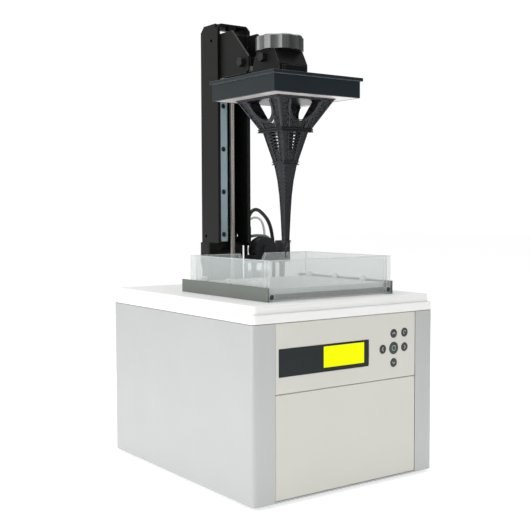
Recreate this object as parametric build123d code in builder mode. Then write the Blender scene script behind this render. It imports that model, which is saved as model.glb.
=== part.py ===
"""Desktop resin printer: an enclosed base with a laser below and an open column, platform and clear tank above."""

import math
import os

from build123d import *

os.makedirs("parts", exist_ok=True)

# ---------------------------------------------------------------- driving dimensions, in millimetres
WIDTH = 280.0  # casing, along X
DEPTH = 337.0  # casing, along Y; the front faces -Y
HEIGHT = 590.0  # floor to the top of the column
FOOT_H = 4.0
SEAM_Z = 209.0  # joint between the casing and the top cover
LEDGE_Z = 219.5  # step that the lid stands on
DECK_Z = 229.5  # top surface of the top cover
CORNER_R = 6.0
SHEET = 2.0
GAP = 0.3  # half of a visible panel seam
FRONT = -DEPTH / 2
FACE_Y = FRONT + 0.3  # outer face of the two front panels
BACK = DEPTH / 2
PANEL_X = 109.0  # half width of the front panels
PANEL_SPLIT_Z = 127.7
REAR_X = 123.7  # half width of the rear panel
UPPER_INSET = 3.6  # the cover's upper step stands in by this much
COVER_T = 2.5

SCREW_X, SCREW_Y = 0.0, 80.0  # axis of the Z leadscrew
SCREW_R = 3.6
RUN_GAP = 0.06  # radial clearance of a running fit

COLUMN_X = 27.0  # half width of the column channel
COLUMN_Y0, COLUMN_Y1 = 74.5, 117.0
COLUMN_Z0 = 291.0
COLUMN_T = 2.5
CAP_Z = HEIGHT - 2.5  # underside of the column's cap
RAIL_FACE_Y = 101.0
RAIL_Z = (292.0, 580.5)

PLAT_Y = -43.0  # centre of the platform
PLAT_HALF = 70.5
PLAT_Z0, PLAT_Z1 = 476.5, 501.5
KNOB_Y = -31.0
KNOB_R = 31.0
KNOB_Z0, KNOB_Z1 = 539.3, 557.5
ARM_Z = (524.0, 535.8)

TANK_X = 95.7
TANK_Y0, TANK_Y1 = -138.0, 35.5
TANK_Z1 = 277.7
RAIL_TOP_Z = 246.0  # top of the tank holder's side rails
FILM_Z = 244.0

BOTTLE = (78.0, 128.0)
VALVE_X, VALVE_Y, VALVE_Z1 = (87.0, 102.5), (82.0, 98.0), 292.0
PUMP_X, PUMP_Z, PUMP_R = 59.5, 278.5, 17.4  # axis and radius of the round pump head, along Y
PUMP_Y = (82.0, 100.0)
SHELF_Z = 272.0  # top of the shelf that carries the pump and the valve

LCD_X, LCD_Z = (-39.3, 23.9), (152.0, 177.0)
BEZEL_X, BEZEL_Z = (-104.4, 31.3), (147.2, 179.6)
BUTTONS = {  # name: (x, z, radius)
    "button_up": (72.4, 183.6, 5.4),
    "button_down": (72.4, 147.4, 5.4),
    "button_left": (54.2, 165.5, 5.4),
    "button_right": (90.6, 165.5, 5.4),
    "button_ok": (72.4, 165.5, 7.5),
    "button_back": (90.6, 183.8, 5.4),
}
BUTTON_TRAVEL = 1.2
HOSE_ENDS = (  # x, y, radius at the deck
    (42.5, 109.0, 2.75),
    (107.5, 130.0, 2.75),
    (42.0, 126.0, 1.75),
    (40.5, 117.5, 2.2),
    (68.8, 105.0, 1.75),
)

BENCH_Z = 66.0  # top face of the optics bench
BEAM_Z = 112.0


# ---------------------------------------------------------------- helpers
def block(x, y, z, mode=Mode.ADD):
    """Box between the low and high values given for each axis."""
    with Locations(((x[0] + x[1]) / 2, (y[0] + y[1]) / 2, (z[0] + z[1]) / 2)):
        Box(x[1] - x[0], y[1] - y[0], z[1] - z[0], mode=mode)


def post(x, y, z, radius, mode=Mode.ADD):
    """Upright cylinder between two heights."""
    with Locations((x, y, (z[0] + z[1]) / 2)):
        Cylinder(radius, z[1] - z[0], mode=mode)


def pin_x(x, y, z, radius, mode=Mode.ADD):
    """Cylinder along X between two x values."""
    with Locations(Location(((x[0] + x[1]) / 2, y, z), (0, 90, 0))):
        Cylinder(radius, x[1] - x[0], mode=mode)


def pin_y(x, y, z, radius, mode=Mode.ADD):
    """Cylinder along Y between two y values."""
    with Locations(Location((x, (y[0] + y[1]) / 2, z), (90, 0, 0))):
        Cylinder(radius, y[1] - y[0], mode=mode)


def sheet_yz(points, x0, thickness, mode=Mode.ADD):
    """Plate parallel to YZ with the outline given as (y, z), growing towards +X from x0."""
    with BuildSketch(Plane.YZ.offset(x0)) as outline:
        with BuildLine():
            Polyline(*points, close=True)
        make_face()
    extrude(outline.sketch, amount=thickness, mode=mode)


def both_sides(low, high):
    """The same span on the left and on the right of the middle plane."""
    return (-high, -low), (low, high)


def save(part, label):
    """Name a finished piece and write it."""
    part.label = label
    export_step(part, f"parts/{label}.step")


# ---------------------------------------------------------------- casing
FEET = [(x, y) for x in (-115.0, 115.0) for y in (-142.0, 142.0)]

with BuildPart() as rubber_feet:
    for x, y in FEET:
        post(x, y, (0, FOOT_H), 11)
    chamfer(rubber_feet.edges().filter_by(GeomType.CIRCLE).group_by(Axis.Z)[0], 0.8)
save(rubber_feet.part, "rubber_feet")

with BuildPart() as base_pan:
    pan_x = WIDTH / 2 - SHEET - 0.1
    with BuildSketch(Plane.XY.offset(FOOT_H)) as pan_outline:
        RectangleRounded(2 * pan_x, DEPTH - 2 * SHEET - 0.2, CORNER_R - SHEET)
    extrude(pan_outline.sketch, amount=SHEET)
    block((-PANEL_X, PANEL_X), (FRONT, FRONT + SHEET + 0.1), (FOOT_H, FOOT_H + SHEET))
    for side in both_sides(pan_x - SHEET, pan_x):
        block(side, (-150, 150), (FOOT_H + SHEET, 18))
    with Locations((0, -20, FOOT_H)):
        with GridLocations(9, 0, 12, 1):
            Box(4, 60, 3 * SHEET, mode=Mode.SUBTRACT)
save(base_pan.part, "base_pan")

with BuildPart() as frame_posts:
    for x in (-120.0, 120.0):
        for y in (-148.0, 148.0):
            block((x - 10, x + 10), (y - 10, y + 10), (FOOT_H + SHEET, 222.5))
            for slot_x, slot_y in ((x - 10, y), (x + 10, y), (x, y - 10), (x, y + 10)):
                block((slot_x - 3, slot_x + 3), (slot_y - 3, slot_y + 3), (0, 230), Mode.SUBTRACT)
save(frame_posts.part, "frame_posts")


def side_cover(sign):
    """Bent side sheet with a wide front strip and a narrow rear return; sign is -1 for the left one."""
    with BuildPart() as cover:
        with BuildSketch(Plane.XY.offset(FOOT_H)) as profile:
            RectangleRounded(WIDTH, DEPTH, CORNER_R)
            RectangleRounded(WIDTH - 2 * SHEET, DEPTH - 2 * SHEET, CORNER_R - SHEET, mode=Mode.SUBTRACT)
            middle = -sign * WIDTH / 2
            for half_width, y in ((PANEL_X + 2 * GAP, FRONT), (REAR_X + GAP, BACK)):
                with Locations((middle + sign * half_width, y)):
                    Rectangle(WIDTH, DEPTH, mode=Mode.SUBTRACT)
        extrude(profile.sketch, amount=SEAM_Z - GAP - FOOT_H)
    return cover.part


save(side_cover(-1), "side_cover_left")
save(side_cover(1), "side_cover_right")


def front_tray(z0, z1):
    """Shallow tray that opens to the back, with its face on the front; call inside a BuildPart block."""
    block((-PANEL_X, PANEL_X), (FACE_Y, FACE_Y + 12), (z0, z1))
    chamfer(edges().filter_by_position(Axis.Y, FACE_Y - 0.01, FACE_Y + 0.01), 0.6)
    block((-PANEL_X + 2.5, PANEL_X - 2.5), (FACE_Y + 2.5, FACE_Y + 13), (z0 + 2.5, z1 - 2.5), Mode.SUBTRACT)


with BuildPart() as front_panel_upper:
    front_tray(PANEL_SPLIT_Z + GAP, SEAM_Z - GAP)
    block(BEZEL_X, (FRONT, FACE_Y + 3), BEZEL_Z, Mode.SUBTRACT)
    for bx, bz, radius in BUTTONS.values():
        pin_y(bx, (FRONT, FACE_Y + 3), bz, radius + 0.25, Mode.SUBTRACT)
save(front_panel_upper.part, "front_panel_upper")

with BuildPart() as front_panel_lower:
    front_tray(FOOT_H + SHEET + GAP, PANEL_SPLIT_Z - GAP)
save(front_panel_lower.part, "front_panel_lower")

with BuildPart() as display_bezel:
    block((BEZEL_X[0] + 0.1, BEZEL_X[1] - 0.1), (FRONT, FACE_Y + 2.4), (BEZEL_Z[0] + 0.1, BEZEL_Z[1] - 0.1))
    fillet(display_bezel.edges().filter_by(Axis.Y).group_by(Axis.X)[-1], 3)
    block(LCD_X, (FRONT - 1, FACE_Y + 3), LCD_Z, Mode.SUBTRACT)
save(display_bezel.part, "display_bezel")

with BuildPart() as lcd_window:
    block((LCD_X[0] + 0.1, LCD_X[1] - 0.1), (FRONT + 0.5, FACE_Y + 2.4), (LCD_Z[0] + 0.1, LCD_Z[1] - 0.1))
save(lcd_window.part, "lcd_window")

BOARD_Y = FACE_Y + 13.2  # front face of the display board
with BuildPart() as display_board:
    block((-98, 102), (BOARD_Y, BOARD_Y + 1.6), (138, 196))
    block((LCD_X[0] - 6, LCD_X[1] + 6), (FACE_Y + 2.6, BOARD_Y), (LCD_Z[0] - 5, LCD_Z[1] + 5))
    for bx, bz, radius in BUTTONS.values():
        block((bx - 3, bx + 3), (BOARD_Y - 3.5, BOARD_Y), (bz - 3, bz + 3))
        pin_y(bx, (BOARD_Y - 4.6, BOARD_Y - 3.5), bz, 1.7)
save(display_board.part, "display_board")

for button, (bx, bz, radius) in BUTTONS.items():
    with BuildPart() as push_button:
        pin_y(bx, (FRONT, FACE_Y + 4.4), bz, radius)
        fillet(push_button.edges().sort_by(Axis.Y)[0], 0.7)
        pin_y(bx, (FACE_Y + 2.8, FACE_Y + 4.4), bz, radius + 1.2)
        pin_y(bx, (FACE_Y + 4.4, BOARD_Y - 4.7 - BUTTON_TRAVEL), bz, 2)
    save(push_button.part, button)

with BuildPart() as top_cover:
    with BuildSketch(Plane.XY.offset(SEAM_Z + GAP)) as skirt:
        RectangleRounded(WIDTH, DEPTH, CORNER_R)
    extrude(skirt.sketch, amount=LEDGE_Z - SEAM_Z - GAP)
    fillet(top_cover.faces().sort_by(Axis.Z)[-1].edges(), 1.2)
    with BuildSketch(Plane.XY.offset(LEDGE_Z - 1)) as step:
        RectangleRounded(WIDTH - 2 * UPPER_INSET, DEPTH - 2 * UPPER_INSET, CORNER_R - 1)
    extrude(step.sketch, amount=DECK_Z - LEDGE_Z + 1)
    fillet(top_cover.faces().sort_by(Axis.Z)[-1].edges(), 3)
    with BuildSketch(Plane.XY.offset(SEAM_Z)) as lower_hollow:
        RectangleRounded(WIDTH - 2 * COVER_T, DEPTH - 2 * COVER_T, CORNER_R - COVER_T)
    extrude(lower_hollow.sketch, amount=LEDGE_Z - COVER_T - SEAM_Z, mode=Mode.SUBTRACT)
    inner_x = WIDTH - 2 * (UPPER_INSET + COVER_T)
    inner_y = DEPTH - 2 * (UPPER_INSET + COVER_T)
    with BuildSketch(Plane.XY.offset(SEAM_Z)) as upper_hollow:
        RectangleRounded(inner_x, inner_y, CORNER_R - COVER_T)
    extrude(upper_hollow.sketch, amount=DECK_Z - COVER_T - SEAM_Z, mode=Mode.SUBTRACT)
    block((-75, 75), (-121, 27), (220, 240), Mode.SUBTRACT)
    block((-36, 36), (64, 126), (220, 240), Mode.SUBTRACT)
    post(*BOTTLE, (58, DECK_Z), 21.4)
    post(*BOTTLE, (DECK_Z - 1, DECK_Z + 1.8), 24.5)
    post(*BOTTLE, (60, 240), 20.2, Mode.SUBTRACT)
    for x, y, radius in HOSE_ENDS:
        post(x, y, (DECK_Z - 1, DECK_Z + 2), radius + 2.4)
        post(x, y, (DECK_Z + 0.1, DECK_Z + 3), radius + 0.1, Mode.SUBTRACT)
save(top_cover.part, "top_cover")

with BuildPart() as deck_plate:
    block((-133, 133), (-161.5, 161.5), (222.5, 226.5))
    fillet(deck_plate.edges().filter_by(Axis.Z), 4)
    block((-68, 68), (-114, 20), (220, 230), Mode.SUBTRACT)
    post(SCREW_X, SCREW_Y, (220, 230), 12, Mode.SUBTRACT)
    post(*BOTTLE, (220, 230), 21.6, Mode.SUBTRACT)
save(deck_plate.part, "deck_plate")

with BuildPart() as laser_window:
    block((-74, 74), (-120, 26), (226.6, 229.2))
save(laser_window.part, "laser_window")

# ---------------------------------------------------------------- back of the casing
FAN_X, FAN_Z = 60.0, 120.0
INLET_X, INLET_Z = -85.0, 42.0
SWITCH_X = -45.0
REAR_Y0 = BACK - SHEET

with BuildPart() as rear_panel:
    block((-REAR_X, REAR_X), (REAR_Y0, BACK), (FOOT_H + SHEET + GAP, SEAM_Z - GAP))
    with BuildSketch(Plane.XZ.offset(-BACK - 1)) as fan_grille:
        with Locations((FAN_X, FAN_Z)):
            for ring in (25.0, 17.0, 9.0):
                Circle(ring + 2.2)
                Circle(ring - 2.2, mode=Mode.SUBTRACT)
            Rectangle(60, 3, rotation=45, mode=Mode.SUBTRACT)
            Rectangle(60, 3, rotation=-45, mode=Mode.SUBTRACT)
    extrude(fan_grille.sketch, amount=4, mode=Mode.SUBTRACT)
    block((INLET_X - 16.1, SWITCH_X + 9.1), (160, 170), (INLET_Z - 12.1, INLET_Z + 12.1), Mode.SUBTRACT)
    block((21, 35), (160, 170), (16.5, 31), Mode.SUBTRACT)
    with Locations((-60, BACK, 150)):
        with GridLocations(10, 0, 9, 1):
            Box(4, 3 * SHEET, 50, mode=Mode.SUBTRACT)
save(rear_panel.part, "rear_panel")

POCKET_X = (SWITCH_X - 5.6, SWITCH_X + 5.6)
with BuildPart() as power_inlet:
    block((INLET_X - 16, SWITCH_X + 9), (145, BACK), (INLET_Z - 12, INLET_Z + 12))
    block((INLET_X - 11.5, INLET_X + 11.5), (152, BACK + 1), (INLET_Z - 7.5, INLET_Z + 7.5), Mode.SUBTRACT)
    for pin_x0, pin_z0 in ((INLET_X - 7, INLET_Z - 2), (INLET_X, INLET_Z + 2), (INLET_X + 7, INLET_Z - 2)):
        block((pin_x0 - 1, pin_x0 + 1), (151, 160), (pin_z0 - 2, pin_z0 + 2))
    block(POCKET_X, (154, BACK + 1), (INLET_Z - 8.7, INLET_Z + 8.7), Mode.SUBTRACT)
save(power_inlet.part, "power_inlet")

ROCKER_Y = BACK - 5.5
ROCKER_TILT = 8.0  # degrees either side of level; it rests with its lower half pressed in
with BuildPart() as power_switch:
    block((SWITCH_X - 5.4, SWITCH_X + 5.4), (ROCKER_Y - 5, ROCKER_Y + 3), (INLET_Z - 8, INLET_Z + 8))
    with BuildSketch(Plane.YZ.offset(SWITCH_X - 6)) as hollow:
        with BuildLine():
            dish = ThreePointArc((ROCKER_Y + 3, INLET_Z - 9), (ROCKER_Y + 1.2, INLET_Z), (ROCKER_Y + 3, INLET_Z + 9))
            Polyline(dish @ 1, (ROCKER_Y + 6, INLET_Z + 9), (ROCKER_Y + 6, INLET_Z - 9), dish @ 0)
        make_face()
    extrude(hollow.sketch, amount=12, mode=Mode.SUBTRACT)
    pin_x((SWITCH_X - 5.5, SWITCH_X + 5.5), ROCKER_Y - 1, INLET_Z, 1.6)
rocker_axis = Axis((SWITCH_X, ROCKER_Y - 1, INLET_Z), (1, 0, 0))
save(power_switch.part.rotate(rocker_axis, ROCKER_TILT), "power_switch")

FAN_Y = (151.2, REAR_Y0 - 0.1)
with BuildPart() as fan_housing:
    block((FAN_X - 30, FAN_X + 30), FAN_Y, (FAN_Z - 30, FAN_Z + 30))
    fillet(fan_housing.edges().filter_by(Axis.Y), 4)
    pin_y(FAN_X, (150, 170), FAN_Z, 28.5, Mode.SUBTRACT)
    pin_y(FAN_X, (FAN_Y[0], FAN_Y[0] + 2), FAN_Z, 12)
    for turn in (45, 135):
        with Locations(Location((FAN_X, FAN_Y[0] + 1, FAN_Z), (0, turn, 0))):
            Box(60, 2, 3)
    with Locations(Location((FAN_X, FAN_Y[0], FAN_Z), (90, 0, 0))):
        with GridLocations(50, 50, 2, 2):
            Cylinder(2.2, 40, mode=Mode.SUBTRACT)
save(fan_housing.part, "fan_housing")

with BuildPart() as fan_rotor:
    hub_y = (FAN_Y[0] + 2.6, FAN_Y[1] - 1.5)
    pin_y(FAN_X, hub_y, FAN_Z, 11)
    for n in range(7):
        with Locations(Location((FAN_X, (hub_y[0] + hub_y[1]) / 2, FAN_Z), (0, n * 360 / 7, 0))):
            with Locations(Location((18.5, 0, 0), (35, 0, 0))):
                Box(17.5, 1.4, 13)
save(fan_rotor.part, "fan_rotor")

# ---------------------------------------------------------------- electronics inside
with BuildPart() as power_supply:
    block((-132, -30), (30, 138), (FOOT_H + SHEET, 46))
    block((-130.5, -31.5), (31.5, 136.5), (FOOT_H + SHEET + 12, 44.5), Mode.SUBTRACT)
    with Locations((-81, 84, 46)):
        with GridLocations(12, 12, 7, 7):
            Cylinder(3.5, 4, mode=Mode.SUBTRACT)
save(power_supply.part, "power_supply")

with BuildPart() as main_board:
    block((0, 110), (60, 158), (16, 17.6))
    for x in (5.0, 105.0):
        for y in (65.0, 153.0):
            post(x, y, (FOOT_H + SHEET, 16), 3)
    block((40, 62), (95, 117), (17.6, 20))
    block((70, 100), (75, 90), (17.6, 27))
    block((22, 34), (140, 168), (17.6, 30))
    block((23.5, 32.5), (156, 169), (19.5, 28.5), Mode.SUBTRACT)
    block((26.5, 29.5), (155, 160), (22.5, 25.5))
    block((46, 58), (70, 84), (17.6, 25))
save(main_board.part, "main_board")

# ---------------------------------------------------------------- optics
GALVO_X = (0.0, 44.0)  # upright axis of the mirror that the beam meets first
with BuildPart() as optics_bench:
    block((-58, 112), (-118, 72), (BENCH_Z - 6, BENCH_Z))
    for x in (-50.0, 104.0):
        for y in (-110.0, 20.0):
            post(x, y, (FOOT_H + SHEET, BENCH_Z - 6), 6)
    block((-22, 22), (30, 60), (BENCH_Z, BEAM_Z - 12))
    block((-22, -14), (4, 60), (BENCH_Z, BEAM_Z + 12))
    post(*GALVO_X, (BENCH_Z + 6, BEAM_Z), 2 + RUN_GAP, Mode.SUBTRACT)
    pin_x((-23, -12), 14, BEAM_Z, 2 + RUN_GAP, Mode.SUBTRACT)
save(optics_bench.part, "optics_bench")

with BuildPart() as laser_module:
    block((44, 108), (28, 60), (BENCH_Z, BENCH_Z + 64))
    for n in range(7):
        block((48 + 8 * n, 52 + 8 * n), (24, 34), (BENCH_Z + 8, BENCH_Z + 70), Mode.SUBTRACT)
    pin_x((34, 44), 44, BEAM_Z, 9)
    pin_x((30, 50), 44, BEAM_Z, 3, Mode.SUBTRACT)
save(laser_module.part, "laser_module")

with BuildPart() as galvo_mirror_x:
    post(*GALVO_X, (BENCH_Z + 10, BEAM_Z + 6), 2)
    with Locations(Location((GALVO_X[0], GALVO_X[1], BEAM_Z), (0, 0, 45))):
        Box(12, 4.4, 12)
save(galvo_mirror_x.part, "galvo_mirror_x")

with BuildPart() as galvo_mirror_y:
    pin_x((-30, 12), 14, BEAM_Z, 2)
    pin_x((-36, -23), 14, BEAM_Z, 7)
    with Locations(Location((2, 14, BEAM_Z), (20, 0, 0))):
        Box(20, 4.4, 16)
save(galvo_mirror_y.part, "galvo_mirror_y")

MIRROR_Y = -47.0
with BuildPart() as fold_mirror:
    with BuildSketch(Plane.YZ.offset(-36)) as wedge:
        with BuildLine():
            Polyline((MIRROR_Y - 46, BENCH_Z), (MIRROR_Y + 46, BENCH_Z), (MIRROR_Y - 46, BENCH_Z + 92), close=True)
        make_face()
    extrude(wedge.sketch, amount=72)
    block((-28, 28), (MIRROR_Y - 40, MIRROR_Y + 20), (BENCH_Z - 1, BENCH_Z + 20), Mode.SUBTRACT)
save(fold_mirror.part, "fold_mirror")

# ---------------------------------------------------------------- Z drive
MOTOR_Z = (181.0, 222.4)
with BuildPart() as z_motor:
    block((-21.1, 21.1), (SCREW_Y - 21.1, SCREW_Y + 21.1), MOTOR_Z)
    chamfer(z_motor.edges().filter_by(Axis.Z), 4)
    for z in (MOTOR_Z[0] + 10, MOTOR_Z[1] - 10):
        for side in both_sides(20.5, 24):
            block(side, (50, 110), (z - 0.6, z + 0.6), Mode.SUBTRACT)
    post(SCREW_X, SCREW_Y, (MOTOR_Z[1], MOTOR_Z[1] + 2), 11)
    post(SCREW_X, SCREW_Y, (MOTOR_Z[0] + 6, 230), SCREW_R + RUN_GAP, Mode.SUBTRACT)
save(z_motor.part, "z_motor")

with BuildPart() as leadscrew:
    post(SCREW_X, SCREW_Y, (MOTOR_Z[0] + 8, CAP_Z - 0.5), SCREW_R)
    chamfer(leadscrew.edges().filter_by(GeomType.CIRCLE), 0.8)
save(leadscrew.part, "leadscrew")

with BuildPart() as column_foot:
    block((-28.8, 28.8), (95, 120), (259, COLUMN_Z0))
    fillet(column_foot.edges().filter_by(Axis.Z), 3)
    block((-9, 9), (94, 102), (280, 295), Mode.SUBTRACT)
    block((-34, 34), (90, 124), (226.5, 236))
    for x in (-22.0, 22.0):
        for y in (100.0, 114.0):
            block((x - 4, x + 4), (y - 4, y + 4), (236, 259))
    block((-12, 12), (106, 118), (236, 259))
    block((COLUMN_X, COLUMN_X + 3.2), (78, 97), (286, 313))
    pin_x((COLUMN_X, COLUMN_X + 4.6), 84, 306, 2.2)
save(column_foot.part, "column_foot")

with BuildPart() as z_column:
    block((-COLUMN_X, COLUMN_X), (COLUMN_Y0, COLUMN_Y1), (COLUMN_Z0, HEIGHT))
    inner = COLUMN_X - COLUMN_T
    block((-inner, inner), (COLUMN_Y0 + COLUMN_T, COLUMN_Y1 - COLUMN_T), (280, 600), Mode.SUBTRACT)
    block((-22.5, 22.5), (70, 80), (280, 600), Mode.SUBTRACT)
    for y, z in ((90, 568), (106, 300)):
        pin_x((-40, 40), y, z, 2.6, Mode.SUBTRACT)
    block((-22.5, 22.5), (COLUMN_Y0, COLUMN_Y1), (CAP_Z, HEIGHT))
    post(SCREW_X, SCREW_Y + 2, (CAP_Z - 5, CAP_Z + 1), 7.5)
    post(SCREW_X, SCREW_Y, (570, CAP_Z), SCREW_R + RUN_GAP, Mode.SUBTRACT)
    sheet_yz([(COLUMN_Y1 + 1, 591), (COLUMN_Y1 + 1, 581), (COLUMN_Y1 - 9, 591)], -40, 80, Mode.SUBTRACT)
    for sign in (-1, 1):
        with BuildSketch(Plane.XZ.offset(-60)) as corner:
            with BuildLine():
                tip_x = sign * (COLUMN_X + 1)
                Polyline((tip_x, 591), (tip_x, 583), (sign * (COLUMN_X - 7), 591), close=True)
            make_face()
        extrude(corner.sketch, amount=-20, mode=Mode.SUBTRACT)
save(z_column.part, "z_column")

RAIL_HOLES = [302.0 + 60 * n for n in range(5)]


def rail_outline(clearance):
    """Half profile of the rail, mirrored, from its face back to the column; clearance widens it."""
    right = [
        (5.5 + clearance / 2, RAIL_FACE_Y - clearance),
        (7.5 + clearance, RAIL_FACE_Y + 2 - clearance / 2),
        (7.5 + clearance, RAIL_FACE_Y + 3.6 + clearance / 2),
        (6.0 + clearance, RAIL_FACE_Y + 5),
        (6.0 + clearance, RAIL_FACE_Y + 6.6),
        (7.5 + clearance, RAIL_FACE_Y + 8 - clearance / 2),
        (7.5 + clearance, COLUMN_Y1 - COLUMN_T),
    ]
    return right + [(-x, y) for x, y in reversed(right)]


with BuildPart() as z_rail:
    with BuildSketch(Plane.XY.offset(RAIL_Z[0])) as rail_profile:
        with BuildLine():
            Polyline(*rail_outline(0), close=True)
        make_face()
    extrude(rail_profile.sketch, amount=RAIL_Z[1] - RAIL_Z[0])
    for z in RAIL_HOLES:
        pin_y(0, (95, RAIL_FACE_Y + 5.5), z, 3.75, Mode.SUBTRACT)
        pin_y(0, (95, 120), z, 2.25, Mode.SUBTRACT)
save(z_rail.part, "z_rail")

with BuildPart() as rail_bolts:
    for z in RAIL_HOLES:
        pin_y(0, (RAIL_FACE_Y + 2, RAIL_FACE_Y + 5.5), z, 3.5)
        pin_y(0, (RAIL_FACE_Y + 5.5, COLUMN_Y1 - COLUMN_T), z, 2.1)
        with BuildSketch(Plane.XZ.offset(-RAIL_FACE_Y - 1)) as socket:
            with Locations((0, z)):
                RegularPolygon(1.7, 6)
        extrude(socket.sketch, amount=-3, mode=Mode.SUBTRACT)
save(rail_bolts.part, "rail_bolts")

# ---------------------------------------------------------------- carriage
RUNNER_Z = (524.5, 574.5)
RUNNER_Y = (86.7, RAIL_FACE_Y + 10)
BRACKET_Y = (69.0, 71.5)
with BuildPart() as rail_block:
    block((-17, 17), RUNNER_Y, RUNNER_Z)
    chamfer(rail_block.edges().filter_by(Axis.Z), 1)
    with BuildSketch(Plane.XY.offset(RUNNER_Z[0] - 1)) as rail_clearance:
        with BuildLine():
            Polyline(*rail_outline(0.08), close=True)
        make_face()
    extrude(rail_clearance.sketch, amount=RUNNER_Z[1] - RUNNER_Z[0] + 2, mode=Mode.SUBTRACT)
save(rail_block.part, "rail_block")

with BuildPart() as nut_block:
    block((-19.4, 19.4), (BRACKET_Y[1], RUNNER_Y[0]), (RUNNER_Z[0], RUNNER_Z[1] - 2.5))
    post(SCREW_X, SCREW_Y, (RUNNER_Z[0] - 4.1, RUNNER_Z[0] - 0.1), 8.2)
    post(SCREW_X, SCREW_Y, (RUNNER_Z[0] - 0.2, RUNNER_Z[0] + 1), 6)
    post(SCREW_X, SCREW_Y, (510, 580), SCREW_R + RUN_GAP, Mode.SUBTRACT)
save(nut_block.part, "nut_block")

GUSSET = [(76, 576), (47, 576), (8.5, 538), (8.5, 520), (13, 516), (76, 516)]
ARM_SCREW = (20.8, 530.6)  # thumb screw on each carriage gusset, as (y, z)
HANGER_SCREW = (-28.0, 530.5)  # thumb screw on each hanger gusset
with BuildPart() as carriage_bracket:
    sheet_yz(GUSSET, 19.5, 2.5)
    sheet_yz(GUSSET, -22, 2.5)
    block((-20, 20), BRACKET_Y, (516, 576))
    pin_x((-30, 30), *ARM_SCREW, 2.2, Mode.SUBTRACT)
save(carriage_bracket.part, "carriage_bracket")

with BuildPart() as platform_arm:
    block((-19.4, 19.4), (7, BRACKET_Y[0]), ARM_Z)
    block((-14, 14), (-46, 7), ARM_Z)
    fillet(platform_arm.edges().filter_by(Axis.Z).group_by(Axis.Y)[0], 5)
    pin_x((-30, 30), *ARM_SCREW, 2.05, Mode.SUBTRACT)
save(platform_arm.part, "platform_arm")


def thumb_screw(sign, x_tip, x_head, y, z):
    """Lobed thumb screw that lies along X; call inside a BuildPart block."""
    near, far = sorted((sign * x_tip, sign * x_head))
    pin_x((near, far), y, z, 2)
    near, far = sorted((sign * x_head, sign * (x_head + 6)))
    pin_x((near, far), y, z, 5)
    for n in range(5):
        lobe = math.radians(72 * n)
        pin_x((near, far), y + 4.4 * math.cos(lobe), z + 4.4 * math.sin(lobe), 1.8)


with BuildPart() as arm_thumb_screws:
    for sign in (-1, 1):
        thumb_screw(sign, 10, 22.1, *ARM_SCREW)
save(arm_thumb_screws.part, "arm_thumb_screws")

# ---------------------------------------------------------------- build platform
LIP_Z = PLAT_Z1 - 4
BODY_HALF = PLAT_HALF - 2.8
PLATE_HALF = BODY_HALF - 3.2
PLATE_TOP = PLAT_Z0 + 3.5
FLOOR_TOP = PLATE_TOP + 4
with BuildPart() as platform_tray:
    for half, z0, z1, mode in (
        (BODY_HALF, PLAT_Z0, LIP_Z, Mode.ADD),
        (PLAT_HALF, LIP_Z, PLAT_Z1, Mode.ADD),
        (BODY_HALF - 3, FLOOR_TOP, PLAT_Z1 + 1, Mode.SUBTRACT),
        (PLATE_HALF + 0.1, PLAT_Z0 - 1, PLATE_TOP + 0.1, Mode.SUBTRACT),
    ):
        with BuildSketch(Plane.XY.offset(z0)) as square:
            with Locations((0, PLAT_Y)):
                RectangleRounded(2 * half, 2 * half, 1.5)
        extrude(square.sketch, amount=z1 - z0, mode=mode)
save(platform_tray.part, "platform_tray")

with BuildPart() as build_plate:
    with BuildSketch(Plane.XY.offset(PLAT_Z0)) as plate_outline:
        with Locations((0, PLAT_Y)):
            RectangleRounded(2 * PLATE_HALF, 2 * PLATE_HALF, 1.4)
    extrude(plate_outline.sketch, amount=PLATE_TOP - PLAT_Z0)
save(build_plate.part, "build_plate")

HANGER_Y = (-65.3, -2.0)
HANGER_CHEEK = [
    (KNOB_Y - 29, 503),
    (KNOB_Y - 29, 520),
    (KNOB_Y - 18.5, 539),
    (KNOB_Y + 18.5, 539),
    (KNOB_Y + 29, 520),
    (KNOB_Y + 29, 503),
]
HANGER_FRONT = [  # bent front sheet, as (y, z)
    (KNOB_Y - 29, 504),
    (KNOB_Y - 29, 520),
    (KNOB_Y - 18.5, 539),
    (KNOB_Y - 16, 539),
    (KNOB_Y - 26.8, 519.5),
    (KNOB_Y - 26.8, 504),
]
with BuildPart() as platform_hanger:
    block((-17.3, 17.3), HANGER_Y, (FLOOR_TOP, 517.7))
    block((-20.4, 20.4), (KNOB_Y - 29, KNOB_Y + 29), (FLOOR_TOP, 505))
    sheet_yz(HANGER_CHEEK, 20.3, 2.2)
    sheet_yz(HANGER_CHEEK, -22.5, 2.2)
    sheet_yz(HANGER_FRONT, -20.4, 40.8)
    block((-20.4, 20.4), (KNOB_Y - 18.5, KNOB_Y + 18.5), (536.5, 539))
    post(0, KNOB_Y, (530, 545), 4 + RUN_GAP, Mode.SUBTRACT)
    pin_x((-30, 30), *HANGER_SCREW, 2.05, Mode.SUBTRACT)
save(platform_hanger.part, "platform_hanger")

with BuildPart() as hanger_thumb_screws:
    for sign in (-1, 1):
        thumb_screw(sign, 14.3, 22.6, *HANGER_SCREW)
save(hanger_thumb_screws.part, "hanger_thumb_screws")

with BuildPart() as clamp_knob:
    post(0, KNOB_Y, (KNOB_Z0, KNOB_Z1), KNOB_R)
    for n in range(8):
        turn = math.radians(45 * n)
        post(46 * math.cos(turn), KNOB_Y + 46 * math.sin(turn), (KNOB_Z0 - 1, KNOB_Z1 + 1), 17.5, Mode.SUBTRACT)
    post(0, KNOB_Y, (ARM_Z[1] + 0.1, KNOB_Z0), 4)
    chamfer(clamp_knob.faces().sort_by(Axis.Z)[-1].edges(), 1.5)
save(clamp_knob.part, "clamp_knob")

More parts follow.
